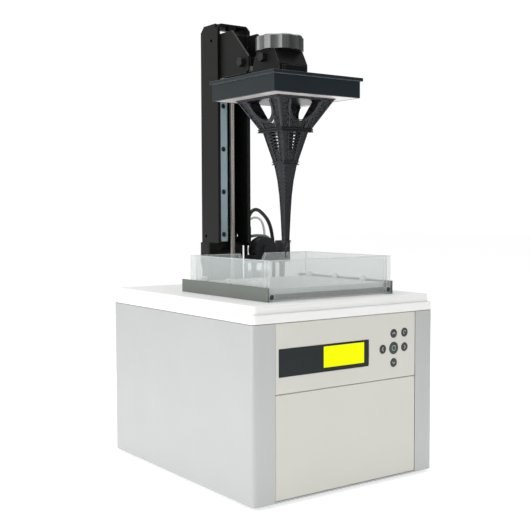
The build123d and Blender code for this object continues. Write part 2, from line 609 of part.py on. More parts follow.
# ---------------------------------------------------------------- sample print on the platform
def taper(low, high):
    """Square tapered bar between two levels, each given as (x, y, side, z); call inside a BuildPart block."""
    sections = []
    for x, y, side, z in (low, high):
        with BuildSketch(Plane.XY.offset(z)) as section:
            with Locations((x, PLAT_Y + y)):
                Rectangle(side, side)
        sections.append(section.sketch)
    loft(sections)


PRINT_LEVELS = ((21, 394), (15.2, 374), (11.8, 355), (9.4, 330), (7.2, 296.5))  # side of the mast, and height
with BuildPart() as sample_print:
    taper((0, 0, 91, 473.5), (0, 0, 91, PLAT_Z0))
    for sx in (-1, 1):
        for sy in (-1, 1):
            taper((sx * 17, sy * 17, 13, 437), (sx * 34, sy * 34, 19, 474))
            taper((sx * 7.4, sy * 7.4, 7.6, 397), (sx * 15.2, sy * 15.2, 11, 435))
    taper((0, 0, 50.8, 434.5), (0, 0, 50.8, 439))
    taper((0, 0, 25.2, 393.5), (0, 0, 25.2, 398))
    for (side_above, z_above), (side_below, z_below) in zip(PRINT_LEVELS, PRINT_LEVELS[1:]):
        taper((0, 0, side_below, z_below), (0, 0, side_above, z_above))
    taper((0, 0, 10.2, 294.3), (0, 0, 10.2, 297.2))
    post(0, PLAT_Y, (289, 294.3), 3)
    post(0, PLAT_Y, (274.3, 289), 0.8)
save(sample_print.part, "sample_print")

# ---------------------------------------------------------------- resin tank
HOLDER_T = 1.8
FLOOR_Z = 231.6
with BuildPart() as tank_holder:
    block((-98, 98), (-129, 53), (DECK_Z, DECK_Z + HOLDER_T))
    block((-72, 72), (-118, 24), (220, 240), Mode.SUBTRACT)
    for side in both_sides(96.1, 98):
        block(side, (-138.8, 53), (DECK_Z, RAIL_TOP_Z))
    block((-98, 98), (36.2, 38), (DECK_Z, FLOOR_Z + 4))
save(tank_holder.part, "tank_holder")

TANK_SCREWS = (-91.5, 91.5)
with BuildPart() as tank_body:
    block((-TANK_X, TANK_X), (TANK_Y0 + 8, TANK_Y1), (FLOOR_Z, TANK_Z1))
    block((-TANK_X + 5, TANK_X - 5), (-140, TANK_Y1 - 5), (238, 300), Mode.SUBTRACT)
    with BuildSketch(Plane.XZ.offset(-TANK_Y1 - 1)) as notch:
        with BuildLine():
            Polyline((-21, 279), (-15, 267), (17, 267), (23, 279), close=True)
        make_face()
    extrude(notch.sketch, amount=8, mode=Mode.SUBTRACT)
    for x in TANK_SCREWS:
        pin_y(x, (-140, -118), 235, 1.8, Mode.SUBTRACT)
save(tank_body.part, "tank_body")

with BuildPart() as tank_front_plate:
    block((-TANK_X, TANK_X), (TANK_Y0, TANK_Y0 + 8), (230.4, TANK_Z1))
    chamfer(tank_front_plate.faces().sort_by(Axis.Y)[0].edges(), 0.6)
    for x in TANK_SCREWS:
        pin_y(x, (-140, -110), 235, 1.8, Mode.SUBTRACT)
        pin_y(x, (-140, TANK_Y0 + 3), 235, 3.4, Mode.SUBTRACT)
save(tank_front_plate.part, "tank_front_plate")

with BuildPart() as tank_screws:
    for x in TANK_SCREWS:
        pin_y(x, (TANK_Y0 + 0.2, TANK_Y0 + 3), 235, 3.2)
        pin_y(x, (TANK_Y0 + 3, -119), 235, 1.7)
save(tank_screws.part, "tank_screws")

PEGS = [(x, y) for x in (-86.3, 86.3) for y in (-95.0, -39.0, 17.0)]
with BuildPart() as silicone_layer:
    block((-TANK_X + 5.1, TANK_X - 5.1), (TANK_Y0 + 8.1, TANK_Y1 - 5.1), (238, FILM_Z))
    for x, y in PEGS:
        post(x, y, (230, 250), 3.2, Mode.SUBTRACT)
save(silicone_layer.part, "silicone_layer")

with BuildPart() as nylon_screws:
    for x, y in PEGS:
        post(x, y, (238, 251), 3)
        post(x, y, (245.2, 250), 3.9)
save(nylon_screws.part, "nylon_screws")

# ---------------------------------------------------------------- resin feed
CAP_R = 17.0
BOTTLE_CAP_Z = 246.0
with BuildPart() as resin_bottle:
    with BuildSketch(Plane.XZ) as bottle_half:
        with BuildLine():
            Polyline((0, 60.1), (19.6, 60.1), (19.6, 205))
            ThreePointArc((19.6, 205), (17.5, 211.5), (12, 215))
            Polyline((12, 215), (12, 226), (10.4, 226), (10.4, 214), (16, 208), (18, 203), (18, 62), (0, 62), (0, 60.1))
        make_face()
    revolve(bottle_half.sketch, axis=Axis.Z)
resin_bottle_placed = Pos(*BOTTLE, 0) * resin_bottle.part
save(resin_bottle_placed, "resin_bottle")

with BuildPart() as bottle_cap:
    post(*BOTTLE, (217, BOTTLE_CAP_Z), CAP_R)
    fillet(bottle_cap.edges().group_by(Axis.Z)[-1], 2)
    post(*BOTTLE, (216, 227), 12.1, Mode.SUBTRACT)
save(bottle_cap.part, "bottle_cap")

with BuildPart() as feed_pump:
    pin_y(PUMP_X, PUMP_Y, PUMP_Z, PUMP_R)
    for rim in ((PUMP_Y[0], PUMP_Y[0] + 2.5), (PUMP_Y[1] - 2.5, PUMP_Y[1])):
        pin_y(PUMP_X, rim, PUMP_Z, PUMP_R + 1.6)
    pin_y(PUMP_X, (PUMP_Y[0] - 2, PUMP_Y[0]), PUMP_Z, 6)
    block((36, VALVE_X[1]), PUMP_Y, (261, SHELF_Z))
    block(VALVE_X, VALVE_Y, (261, VALVE_Z1))
    for x in (44.0, 94.5):
        post(x, 91, (DECK_Z, 262), 4)
        post(x, 91, (DECK_Z, DECK_Z + 2), 7)
    chamfer(feed_pump.faces().filter_by_position(Axis.Z, VALVE_Z1 - 0.1, VALVE_Z1 + 0.1).edges(), 0.8)
save(feed_pump.part, "feed_pump")

BLACK_TUBE = [
    (42.5, 109, 229.7),
    (43, 109, 260),
    (42, 108.6, 293),
    (44.6, 109.2, 319.5),
    (53.6, 112.1, 334.5),
    (67.5, 116.7, 338),
    (82.7, 121.7, 330.5),
    (96.9, 126.4, 318.5),
    (105, 129.1, 298),
    (108.8, 130.3, 263.5),
    (107.5, 130, 229.7),
]
CLEAR_TUBE = [
    (42, 126, 229.7),
    (42.4, 125.4, 253),
    (42, 124, 282),
    (44.6, 120.4, 307.4),
    (54, 114.2, 325.7),
    (68.2, 107.8, 325),
    (73.8, 105.6, 307),
    (73, 105.2, 281),
    (69.4, 105, 252),
    (68.8, 105, 229.7),
]
GREY_TUBE = [
    (40.5, 117.5, 229.7),
    (40.4, 117.5, 248),
    (37.8, 116.4, 268),
    (34.4, 111.1, 286.4),
    (38.1, 100.9, 296.6),
    (46.8, 93.1, 300),
    (55.6, 89.9, 299.6),
    (67.7, 91, 298.3),
    (79.3, 91, 286.7),
    (79.3, 91, 272.2),
]


def hose(points, radius):
    """Round hose along straight runs joined by tangent arcs."""
    at = [Vector(*p) for p in points]
    radii = []
    for before, here, after in zip(at, at[1:], at[2:]):
        come, leave = here - before, after - here
        half_turn = math.radians(come.get_angle(leave)) / 2
        radii.append(0.45 * min(come.length, leave.length) / math.tan(half_turn))
    print("bend radii", [round(value, 1) for value in radii])
    with BuildPart() as pipe:
        with BuildLine() as route:
            FilletPolyline(*points, radius=radii)
        start = route.line @ 0
        with BuildSketch(Plane(origin=start, z_dir=route.line % 0)):
            Circle(radius)
        sweep()
    length = sum(edge.length for edge in route.line.edges())
    print("volume", round(pipe.part.volume), "expected", round(math.pi * radius**2 * length))
    return pipe.part


save(hose(BLACK_TUBE, 2.75), "feed_tube_black")
save(hose(CLEAR_TUBE, 1.75), "feed_tube_clear")
save(hose(GREY_TUBE, 2.2), "feed_tube_grey")
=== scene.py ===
import math

import bpy
from mathutils import Matrix, Vector


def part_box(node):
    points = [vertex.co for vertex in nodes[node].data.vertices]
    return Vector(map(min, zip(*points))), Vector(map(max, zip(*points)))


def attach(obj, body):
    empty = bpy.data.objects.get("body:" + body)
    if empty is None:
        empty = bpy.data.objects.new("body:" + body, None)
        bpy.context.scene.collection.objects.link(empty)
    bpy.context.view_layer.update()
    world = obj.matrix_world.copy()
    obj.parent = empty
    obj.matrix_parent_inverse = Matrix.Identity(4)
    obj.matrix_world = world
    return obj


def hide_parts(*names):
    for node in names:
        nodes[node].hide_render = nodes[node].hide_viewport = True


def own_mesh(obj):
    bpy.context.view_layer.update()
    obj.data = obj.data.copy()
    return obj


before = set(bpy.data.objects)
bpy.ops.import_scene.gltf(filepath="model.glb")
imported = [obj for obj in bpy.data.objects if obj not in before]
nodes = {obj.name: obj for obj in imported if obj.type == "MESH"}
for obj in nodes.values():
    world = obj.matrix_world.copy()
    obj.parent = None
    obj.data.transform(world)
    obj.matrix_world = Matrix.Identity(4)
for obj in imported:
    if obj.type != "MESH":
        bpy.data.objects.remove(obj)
scene = bpy.context.scene
MM = 0.001


# ------------------------------------------------------------------ materials
def shade(
    name,
    colour,
    rough=0.5,
    metal=0.0,
    tone=0.04,
    blotch=14.0,
    grain=1500.0,
    stretch=(1.0, 1.0, 1.0),
    relief=0.05,
    edge=None,
    edge_radius=0.0006,
    rough_swing=0.06,
    clear=None,
    **sockets,
):
    """Principled finish with broad tone drift and fine grain.

    An edge colour softens the edges and tints them, on most finishes as a painted highlight, and clear makes
    the faces see-through between them.
    """
    material = bpy.data.materials.new(name)
    material.use_nodes = True
    tree = material.node_tree
    shader = tree.nodes["Principled BSDF"]
    link = tree.links.new

    coordinates = tree.nodes.new("ShaderNodeTexCoord")
    mapping = tree.nodes.new("ShaderNodeMapping")
    mapping.inputs["Scale"].default_value = stretch
    link(coordinates.outputs["Object"], mapping.inputs["Vector"])

    fine = tree.nodes.new("ShaderNodeTexNoise")
    fine.inputs["Scale"].default_value = grain
    fine.inputs["Detail"].default_value = 5.0
    link(mapping.outputs["Vector"], fine.inputs["Vector"])
    broad = tree.nodes.new("ShaderNodeTexNoise")
    broad.inputs["Scale"].default_value = blotch
    broad.inputs["Detail"].default_value = 4.0
    link(coordinates.outputs["Object"], broad.inputs["Vector"])

    ramp = tree.nodes.new("ShaderNodeValToRGB")
    ramp.color_ramp.elements[0].position = 0.3
    ramp.color_ramp.elements[1].position = 0.7
    ramp.color_ramp.elements[0].color = [max(c * (1 - tone), 0) for c in colour] + [1]
    ramp.color_ramp.elements[1].color = [min(c * (1 + tone), 1) for c in colour] + [1]
    link(broad.outputs["Fac"], ramp.inputs["Fac"])
    tint = ramp.outputs["Color"]

    swing = tree.nodes.new("ShaderNodeMapRange")
    swing.inputs["From Min"].default_value = 0.3
    swing.inputs["From Max"].default_value = 0.7
    swing.inputs["To Min"].default_value = max(rough - rough_swing, 0.0)
    swing.inputs["To Max"].default_value = min(rough + rough_swing, 1.0)
    link(fine.outputs["Fac"], swing.inputs["Value"])
    link(swing.outputs["Result"], shader.inputs["Roughness"])

    bump = tree.nodes.new("ShaderNodeBump")
    bump.inputs["Strength"].default_value = relief
    bump.inputs["Distance"].default_value = 0.0004
    link(fine.outputs["Fac"], bump.inputs["Height"])
    if edge is not None:
        soft = tree.nodes.new("ShaderNodeBevel")
        soft.samples = 4
        soft.inputs["Radius"].default_value = edge_radius
        link(soft.outputs["Normal"], bump.inputs["Normal"])
        facing = tree.nodes.new("ShaderNodeNewGeometry")
        bend = tree.nodes.new("ShaderNodeVectorMath")
        bend.operation = "DOT_PRODUCT"
        link(soft.outputs["Normal"], bend.inputs[0])
        link(facing.outputs["Normal"], bend.inputs[1])
        # Edge mask for the edge colour: a painted highlight on most finishes, a darker edge on the grey
        # anodised one.
        edge_tint_and_highlight = tree.nodes.new("ShaderNodeMapRange")
        edge_tint_and_highlight.inputs["From Min"].default_value = 0.985
        edge_tint_and_highlight.inputs["From Max"].default_value = 0.86
        link(bend.outputs["Value"], edge_tint_and_highlight.inputs["Value"])
        lighten = tree.nodes.new("ShaderNodeMix")
        lighten.data_type = "RGBA"
        lighten.inputs[7].default_value = list(edge) + [1]
        link(edge_tint_and_highlight.outputs["Result"], lighten.inputs[0])
        link(tint, lighten.inputs[6])
        tint = lighten.outputs[2]
        if clear is not None:
            # The painted edge highlight also raises the opacity, so see-through finishes get bright, nearly
            # solid edges.
            veil = tree.nodes.new("ShaderNodeMapRange")
            veil.inputs["To Min"].default_value, veil.inputs["To Max"].default_value = clear
            link(edge_tint_and_highlight.outputs["Result"], veil.inputs["Value"])
            link(veil.outputs["Result"], shader.inputs["Alpha"])
    link(tint, shader.inputs["Base Color"])
    link(bump.outputs["Normal"], shader.inputs["Normal"])
    shader.inputs["Metallic"].default_value = metal
    for socket, value in sockets.items():
        shader.inputs[socket.replace("_", " ")].default_value = value
    return material


# Each edge colour below is a painted highlight that lightens the edges, except on grey_anodised, where it
# darkens them.
silver = shade("silver_paint", (0.49, 0.505, 0.50), 0.42, 0.45, tone=0.015, grain=2600, relief=0.03,
               edge=(0.78, 0.79, 0.79), edge_radius=0.0009)
front_paint = shade("front_paint", (0.66, 0.655, 0.60), 0.45, 0.1, tone=0.012, grain=2400, relief=0.03,
                    edge=(0.82, 0.81, 0.76))
cover_white = shade("white_cover", (0.90, 0.905, 0.89), 0.38, tone=0.012, grain=1800, relief=0.04,
                    edge=(0.93, 0.93, 0.92), edge_radius=0.0012)
gloss_black = shade("black_gloss", (0.012, 0.017, 0.019), 0.13, tone=0.1, grain=900, relief=0.01,
                    rough_swing=0.03, edge=(0.03, 0.035, 0.035), Specular_IOR_Level=0.18)
anodised_black = shade("black_anodised", (0.010, 0.010, 0.0095), 0.42, 0.0, tone=0.14, grain=3200,
                       relief=0.05, edge=(0.07, 0.07, 0.068), edge_radius=0.0005, Specular_IOR_Level=0.2)
column_black = shade("column_black", (0.0040, 0.0052, 0.0035), 0.46, 0.0, tone=0.10, grain=3000, relief=0.05,
                     edge=(0.05, 0.05, 0.047), edge_radius=0.0006, Specular_IOR_Level=0.2)
platform_black = shade("platform_black", (0.010, 0.017, 0.021), 0.36, 0.1, tone=0.12, grain=2600, relief=0.04,
                       edge=(0.22, 0.25, 0.28), edge_radius=0.0007, Specular_IOR_Level=0.3)
sheet_black = shade("sheet_black", (0.009, 0.009, 0.0085), 0.5, 0.0, tone=0.12, grain=3000, relief=0.05,
                    edge=(0.42, 0.42, 0.40), edge_radius=0.00035, Specular_IOR_Level=0.15)
dark_plastic = shade("dark_plastic", (0.012, 0.013, 0.015), 0.5, tone=0.15, grain=1600, relief=0.10,
                     edge=(0.06, 0.065, 0.07), Specular_IOR_Level=0.3)
key_black = shade("key_black", (0.022, 0.027, 0.026), 0.4, tone=0.12, grain=2200, relief=0.06,
                  edge=(0.10, 0.11, 0.11), edge_radius=0.0004)
key_green = shade("key_green", (0.020, 0.045, 0.036), 0.36, tone=0.12, grain=2200, relief=0.06,
                  edge=(0.09, 0.13, 0.12), edge_radius=0.0004)
holder_grey = shade("grey_anodised", (0.17, 0.185, 0.165), 0.44, 0.35, tone=0.05, grain=2400,
                    stretch=(1, 0.06, 1), relief=0.06, edge=(0.05, 0.06, 0.055), edge_radius=0.0006)
aluminium = shade("aluminium", (0.62, 0.61, 0.60), 0.34, 0.9, tone=0.04, grain=2400, stretch=(1, 0.05, 1),
                  relief=0.08, edge=(0.8, 0.8, 0.8))
plate_metal = shade("plate_metal", (0.72, 0.68, 0.67), 0.36, 0.2, tone=0.05, grain=2200,
                    stretch=(0.05, 1, 1), relief=0.08, edge=(0.75, 0.73, 0.72))
steel = shade("steel", (0.46, 0.47, 0.48), 0.32, 0.95, tone=0.06, grain=1800, relief=0.06,
              edge=(0.7, 0.7, 0.7))
dark_steel = shade("dark_steel", (0.05, 0.055, 0.06), 0.35, 0.7, tone=0.1, grain=1500, relief=0.08,
                   edge=(0.25, 0.26, 0.27))
# Painted reflection: the pale blue-white colour with no metal stands in for the polished rail's reflection.
rail_steel = shade("bearing_steel", (0.66, 0.88, 0.94), 0.3, 0.0, tone=0.03, grain=2600, stretch=(1, 1, 0.03),
                   relief=0.04, edge=(0.70, 0.78, 0.80), edge_radius=0.0004)
screw_steel = shade("screw_steel", (0.44, 0.42, 0.385), 0.3, 0.85, tone=0.08, grain=1500, relief=0.05)
knob_metal = shade("knob_grey", (0.17, 0.175, 0.175), 0.33, 0.92, tone=0.08, blotch=30, grain=2600,
                   stretch=(1, 1, 0.02), relief=0.22, rough_swing=0.12, edge=(0.45, 0.46, 0.46),
                   edge_radius=0.0008)
# Painted reflection: the acrylic's edges take a near-white colour and are made almost opaque, while the faces
# stay see-through.
acrylic = shade("acrylic", (0.66, 0.715, 0.705), 0.06, tone=0.02, grain=500, relief=0.012, rough_swing=0.02,
                edge=(0.93, 0.985, 0.98), edge_radius=0.0016, clear=(0.30, 0.92), IOR=1.49)
window_glass = shade("window_glass", (0.80, 0.86, 0.85), 0.04, tone=0.02, grain=500, relief=0.01,
                     rough_swing=0.02, Transmission_Weight=1.0, IOR=1.45)
silicone = shade("silicone", (0.95, 0.95, 0.94), 0.22, tone=0.02, grain=300, relief=0.05,
                 Transmission_Weight=0.2, IOR=1.41)
rubber = shade("rubber_black", (0.008, 0.008, 0.009), 0.42, tone=0.15, grain=1100, relief=0.12,
               Specular_IOR_Level=0.3)
grey_hose = shade("grey_hose", (0.26, 0.28, 0.28), 0.35, tone=0.08, grain=900, relief=0.08)
clear_hose = shade("clear_hose", (0.80, 0.80, 0.79), 0.18, tone=0.03, grain=700, relief=0.03,
                   Transmission_Weight=0.55, IOR=1.4)
nylon = shade("nylon", (0.86, 0.86, 0.83), 0.4, tone=0.03, grain=900, relief=0.08,
              edge=(0.95, 0.95, 0.94), edge_radius=0.0004)
board_green = shade("circuit_board", (0.015, 0.12, 0.05), 0.35, tone=0.2, blotch=60, grain=700, relief=0.2)
mirror_face = shade("mirror", (0.86, 0.87, 0.88), 0.05, 1.0, tone=0.01, grain=300, relief=0.004,
                    rough_swing=0.02)
print_resin = shade("resin_print", (0.008, 0.009, 0.012), 0.30, tone=0.22, blotch=160, grain=900, relief=0.35,
                    edge=(0.10, 0.11, 0.13), edge_radius=0.0003, Specular_IOR_Level=0.35)
amber = shade("amber_bottle", (0.030, 0.022, 0.016), 0.25, tone=0.15, grain=700, relief=0.05)
icon_grey = shade("icon_grey", (0.42, 0.45, 0.44), 0.5, tone=0.06, grain=2500, relief=0.04)
lcd_glow = shade("lcd", (0.30, 0.34, 0.0), 0.5, tone=0.015, grain=3600, relief=0.02,
                 Specular_IOR_Level=0.05, Emission_Color=(0.88, 1.0, 0.0, 1.0), Emission_Strength=0.78)

FINISH = {
    silver: ("side_cover_left", "side_cover_right", "rear_panel", "base_pan"),
    front_paint: ("front_panel_upper", "front_panel_lower"),
    cover_white: ("top_cover",),
    gloss_black: ("display_bezel",),
    lcd_glow: ("lcd_window",),
    key_black: ("button_up", "button_down", "button_left", "button_right", "button_back"),
    key_green: ("button_ok",),
    column_black: ("z_column", "column_foot"),
    anodised_black: ("nut_block", "platform_arm", "laser_module", "z_motor"),
    sheet_black: ("carriage_bracket", "platform_hanger"),
    platform_black: ("platform_tray",),
    plate_metal: ("build_plate",),
    dark_plastic: ("arm_thumb_screws", "hanger_thumb_screws", "feed_pump", "bottle_cap", "power_inlet",
                   "power_switch", "fan_housing", "fan_rotor"),
    holder_grey: ("tank_holder", "optics_bench"),
    aluminium: ("frame_posts", "deck_plate"),
    steel: ("power_supply", "rail_block"),
    dark_steel: ("rail_bolts", "tank_screws"),
    rail_steel: ("z_rail",),
    screw_steel: ("leadscrew",),
    knob_metal: ("clamp_knob",),
    acrylic: ("tank_body", "tank_front_plate"),
    window_glass: ("laser_window",),
    silicone: ("silicone_layer",),
    rubber: ("rubber_feet", "feed_tube_black"),
    grey_hose: ("feed_tube_grey",),
    clear_hose: ("feed_tube_clear",),
    nylon: ("nylon_screws",),
    board_green: ("display_board", "main_board"),
    mirror_face: ("fold_mirror", "galvo_mirror_x", "galvo_mirror_y"),
    print_resin: ("sample_print",),
    amber: ("resin_bottle",),
}
for material, names in FINISH.items():
    for name in names:
        nodes[name].data.materials.clear()
        nodes[name].data.materials.append(material)


# ------------------------------------------------------------------ mesh helpers
def mesh_object(name, points, faces, material, body, smooth=False):
    """Mesh from points in millimetres that rides on a body."""
    mesh = bpy.data.meshes.new(name)
    mesh.from_pydata([[c * MM for c in p] for p in points], [], faces)
    mesh.materials.append(material)
    mesh.update()
    made = bpy.data.objects.new(name, mesh)
    scene.collection.objects.link(made)
    if smooth:
        mesh.polygons.foreach_set("use_smooth", [True] * len(mesh.polygons))
    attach(made, body)
    return made


BOX_FACES = [(0, 3, 2, 1), (4, 5, 6, 7), (0, 1, 5, 4), (1, 2, 6, 5), (2, 3, 7, 6), (3, 0, 4, 7)]


class Shape:
    """Points and faces gathered from simple solids, in millimetres."""

    def __init__(self):
        self.points = []
        self.faces = []

    def hull(self, corners):
        """Six-sided solid from its four lower and four upper corners."""
        first = len(self.points)
        self.points += [tuple(c) for c in corners]
        self.faces += [tuple(first + i for i in face) for face in BOX_FACES]

    def bar(self, start, end, width):
        """Square bar between two points."""
        start, end = Vector(start), Vector(end)
        along = (end - start).normalized()
        helper = Vector((0, 1, 0)) if abs(along.y) < 0.7 else Vector((1, 0, 0))
        across = along.cross(helper).normalized() * width / 2
        up = across.cross(along)
        ring = (across + up, up - across, -across - up, across - up)
        self.hull([start + r for r in ring] + [end + r for r in ring])

    def slab(self, x, y, side, z0, z1):
        """Flat square slab."""
        half = side / 2
        square = ((-half, -half), (half, -half), (half, half), (-half, half))
        self.hull([(x + dx, y + dy, z) for z in (z0, z1) for dx, dy in square])

    def turned(self, x, y, profile, steps=20):
        """Solid of revolution about an upright axis; profile is a list of (radius, z)."""
        first = len(self.points)
        for radius, z in profile:
            for n in range(steps):
                turn = 2 * math.pi * n / steps
                self.points.append((x + radius * math.cos(turn), y + radius * math.sin(turn), z))
        for ring in range(len(profile) - 1):
            for n in range(steps):
                a = first + ring * steps + n
                b = first + ring * steps + (n + 1) % steps
                self.faces.append((a, b, b + steps, a + steps))
        self.faces.append(tuple(first + n for n in reversed(range(steps))))
        last = first + (len(profile) - 1) * steps
        self.faces.append(tuple(last + n for n in range(steps)))


# ------------------------------------------------------------------ sample print
# A lattice tower that hangs upside down from the build plate.
plate_low, plate_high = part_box("build_plate")
PLAT_Y = (plate_low[1] + plate_high[1]) / 2 / MM
tower = Shape()
CORE_SINK = 0.62
DIAGONAL_SHARE = 0.8

# Each deck is a stack of square slabs: side, lower face, upper face.
BASE_DECK = ((91, 475.2, 476.5), (88.4, 473.5, 475.3))
FIRST_DECK = ((50.8, 434.5, 435.9), (47.6, 435.8, 437.9), (50.8, 437.8, 439.0))
SECOND_DECK = ((25.2, 393.5, 394.7), (22.8, 394.6, 396.9), (25.2, 396.8, 398.0))
TOP_DECK = ((10.2, 295.9, 297.0), (8.8, 294.9, 296.0), (10.2, 294.3, 295.0))
SHAFT_LEVELS = ((21, 394), (15.2, 374), (11.8, 355), (9.4, 330), (7.2, 296.5))
SHAFT_PANEL = 4.6

RAILING_REACH, RAILING_PITCH, RAILING_EACH_WAY = 24.6, 2.42, 10
RAILING_LOW, RAILING_HIGH, RAILING_WIDTH = 435.6, 438.1, 0.9

CROSS_COUNT, CROSS_START, CROSS_RISE = 9, 398.5, 4
CROSS_HALF, CROSS_WIDER = 4, 0.78
CROSS_REACH, CROSS_LEAN = 10.6, 1.03

ARCH_SPRING, ARCH_HALF, ARCH_DROP, ARCH_STEPS = 471.8, 24.6, 25.5, 24
ARCH_RIBS = ((0.0, ARCH_DROP, 2.0), (2.8, 22.8, 1.1), (1.4, 24.2, 0.9))
GRILLE_HALF, GRILLE_GAPS, GRILLE_REACH, GRILLE_LOW, GRILLE_WIDTH = 21.5, 13, 23.6, 438.6, 0.7

# Radius and height, from the tip up.
SPIRE = (
    (0.5, 274.3), (0.8, 275.4), (0.45, 276.2), (0.8, 277.6), (0.5, 278.6), (0.95, 280.4), (0.6, 281.6),
    (0.65, 284.2), (1.5, 285.0), (0.9, 285.8), (1.2, 288.4), (2.2, 289.2), (2.9, 291.2), (3.0, 294.4),
)
SPIRE_STEPS = 16


def corners_at(cx, cy, side, z):
    """Four corners of a level square whose centre is measured from the tower's axis."""
    half = side / 2
    signs = ((-1, -1), (1, -1), (1, 1), (-1, 1))
    return [Vector((cx + sx * half, PLAT_Y + cy + sy * half, z)) for sx, sy in signs]


def lattice(low, high, panels, chord, brace):
    """Tapered lattice bar between (cx, cy, side, z) levels, with a recessed core."""
    (cx0, cy0, side0, z0), (cx1, cy1, side1, z1) = low, high
    sink = chord * CORE_SINK
    diagonal = brace * DIAGONAL_SHARE
    foot = corners_at(cx0, cy0, side0 - 2 * sink, z0)
    head = corners_at(cx1, cy1, side1 - 2 * sink, z1)
    tower.hull(foot + head)
    rings = []
    for n in range(panels + 1):
        t = n / panels
        cx, cy = cx0 + (cx1 - cx0) * t, cy0 + (cy1 - cy0) * t
        side, z = side0 + (side1 - side0) * t, z0 + (z1 - z0) * t
        rings.append(corners_at(cx, cy, side - chord, z))
    for ring, above in zip(rings, rings[1:]):
        for n in range(4):
            m = (n + 1) % 4
            tower.bar(ring[n], above[n], chord)
            tower.bar(ring[n], ring[m], brace)
            tower.bar(ring[n], above[m], diagonal)
            tower.bar(ring[m], above[n], diagonal)


def deck(slabs):
    """Square slabs stacked on the tower's axis."""
    for side, low, high in slabs:
        tower.slab(0, PLAT_Y, side, low, high)


def on_side(quarter, across, out, z):
    """Point on one of the four sides, from its place on the front one."""
    spot = quarter @ Vector((across, -out, 0))
    return (spot.x, spot.y + PLAT_Y, z)


def tier_wall(quarter, low, high, thick):
    """Thin sloped panel between two legs; low and high are (half width, reach, z)."""
    corners = []
    for half, reach, z in (low, high):
        for across, out in ((-half, reach), (half, reach), (half, reach - thick), (-half, reach - thick)):
            corners.append(on_side(quarter, across, out, z))
    tower.hull(corners)


def crosses(quarter):
    """Crossed braces between two legs of the narrower tier, wider towards the plate."""
    for n in range(CROSS_COUNT):
        height = CROSS_START + CROSS_RISE * n
        half = CROSS_HALF + CROSS_WIDER * n
        reach = CROSS_REACH + CROSS_LEAN * n
        for lean in (-1, 1):
            start = on_side(quarter, -lean * half, reach, height)
            end = on_side(quarter, lean * half, reach + CROSS_LEAN, height + CROSS_RISE)
            tower.bar(start, end, 1.0)


def arch_reach(z):
    """How far the leaning side stands out from the axis at a height."""
    return 23.0 + (z - 437) * 19.6 / 37


def arch(quarter):
    """Nested arch ribs between two legs, and the grille of bars across the arch."""
    for inset, drop, width in ARCH_RIBS:
        rib = []
        for n in range(ARCH_STEPS + 1):
            angle = math.pi * n / ARCH_STEPS
            z = ARCH_SPRING - drop * math.sin(angle)
            rib.append(on_side(quarter, (ARCH_HALF - inset) * math.cos(angle), arch_reach(z), z))
        for start, end in zip(rib, rib[1:]):
            tower.bar(start, end, width)
    for n in range(GRILLE_GAPS + 1):
        across = -GRILLE_HALF + 2 * GRILLE_HALF * n / GRILLE_GAPS
        z = ARCH_SPRING - ARCH_DROP * math.sqrt(max(1 - (across / ARCH_HALF) ** 2, 0))
        start = on_side(quarter, across, GRILLE_REACH, GRILLE_LOW)
        end = on_side(quarter, across, arch_reach(z), z)
        tower.bar(start, end, GRILLE_WIDTH)


deck(BASE_DECK)
for sx in (-1, 1):
    for sy in (-1, 1):
        lattice((sx * 17, sy * 17, 13.2, 438.5), (sx * 34, sy * 34, 19, 473.8), 5, 2.1, 1.3)
        lattice((sx * 7.6, sy * 7.6, 7.8, 397.5), (sx * 15.2, sy * 15.2, 11, 435), 6, 1.5, 0.95)
deck(FIRST_DECK)
deck(SECOND_DECK)
for n in range(-RAILING_EACH_WAY, RAILING_EACH_WAY + 1):
    along = RAILING_PITCH * n
    for out in (-RAILING_REACH, RAILING_REACH):
        for x, y in ((along, PLAT_Y + out), (out, PLAT_Y + along)):
            tower.bar((x, y, RAILING_LOW), (x, y, RAILING_HIGH), RAILING_WIDTH)
for (side_top, z_top), (side_low, z_low) in zip(SHAFT_LEVELS, SHAFT_LEVELS[1:]):
    panels = max(round((z_top - z_low) / SHAFT_PANEL), 3)
    lattice((0, 0, side_low, z_low), (0, 0, side_top, z_top), panels, 1.15, 0.8)
for turn in range(4):
    quarter = Matrix.Rotation(turn * math.pi / 2, 3, "Z")
    tier_wall(quarter, (4.6, 10.4, 398), (5.8, 13.4, 412), 1.2)
    tier_wall(quarter, (20, 22.6, 438.6), (17, 25.4, 445.2), 1.6)
    crosses(quarter)
    arch(quarter)
deck(TOP_DECK)
tower.turned(0, PLAT_Y, SPIRE, SPIRE_STEPS)
print_mesh = mesh_object("tower_print", tower.points, tower.faces, print_resin, "platform")
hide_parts("sample_print")
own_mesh(print_mesh)

# ------------------------------------------------------------------ threaded leadscrew
thread_points, thread_faces = [], []
SCREW_Y, THREAD_PITCH, SIDES = 80.0, 2.0, 24
ROOT_RADIUS, THREAD_DEPTH, RING_STEP = 2.95, 0.62, 0.4
FLANK_SLOPE, FLANK_SINK = 2.2, 0.5
screw_low, screw_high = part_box("leadscrew")
z_start, z_end = screw_low[2] / MM, screw_high[2] / MM
ring_count = int((z_end - z_start) / RING_STEP)
for ring in range(ring_count + 1):
    z = z_start + (z_end - z_start) * ring / ring_count
    for n in range(SIDES):
        phase = (z / THREAD_PITCH - n / SIDES) % 1.0
        rise = min(max(FLANK_SLOPE * (1 - abs(2 * phase - 1)) - FLANK_SINK, 0.0), 1.0)
        radius = ROOT_RADIUS + THREAD_DEPTH * rise
        turn = 2 * math.pi * n / SIDES
        thread_points.append((radius * math.cos(turn), SCREW_Y + radius * math.sin(turn), z))
for ring in range(ring_count):
    for n in range(SIDES):
        a, b = ring * SIDES + n, ring * SIDES + (n + 1) % SIDES
        thread_faces.append((a, b, b + SIDES, a + SIDES))
thread_faces.append(tuple(reversed(range(SIDES))))
thread_faces.append(tuple(ring_count * SIDES + n for n in range(SIDES)))
thread = mesh_object("leadscrew_thread", thread_points, thread_faces, screw_steel, "screw", smooth=True)
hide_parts("leadscrew")

